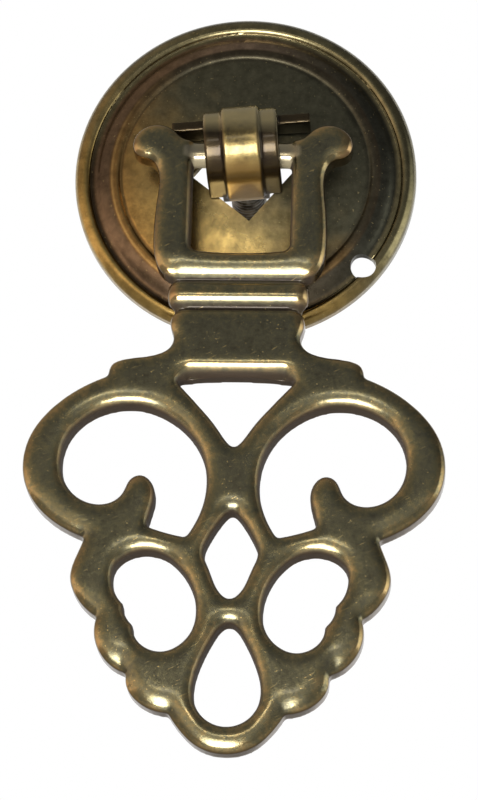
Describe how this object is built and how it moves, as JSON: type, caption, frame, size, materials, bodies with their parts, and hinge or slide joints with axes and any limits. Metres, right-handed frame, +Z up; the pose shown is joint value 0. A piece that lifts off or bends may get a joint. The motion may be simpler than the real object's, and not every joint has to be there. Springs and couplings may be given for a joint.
{
  "type": "drop pull",
  "caption": "Antique brass drop pull: a pierced scroll and leaf drop swings from a ribbed strap loop on a round pressed backplate, held to the drawer by a threaded stud.",
  "frame": {"origin": "centre of the backplate, on the plane of the drawer front that its rim lies on", "axes": "+Z up, +Y into the drawer, -Y towards the user, +X along the drop's pivot rod"},
  "size_m": [0.0452, 0.0334, 0.0865],
  "materials": {
    "plate_brass": "antiqued, satin, rubbed bright on the rim and shoulder",
    "strap_brass": "antiqued, satin, bright on the sheared edges",
    "stud_steel": "plain threaded steel",
    "drop_brass": "antiqued, dark on the flats, rubbed bright on the rounded edges"
  },
  "bodies": {
    "plate": {"backplate": "plate_brass", "hanger_strap": "strap_brass", "fixing_stud": "stud_steel"},
    "drop": {"drop": "drop_brass"}
  },
  "joints": [
    {"name": "drop_swing", "type": "hinge", "parent": "plate", "child": "drop", "pos_m": [0, -0.00695, 0], "axis": [-1, 0, 0], "range_deg": [-4.5, 165]}
  ]
}
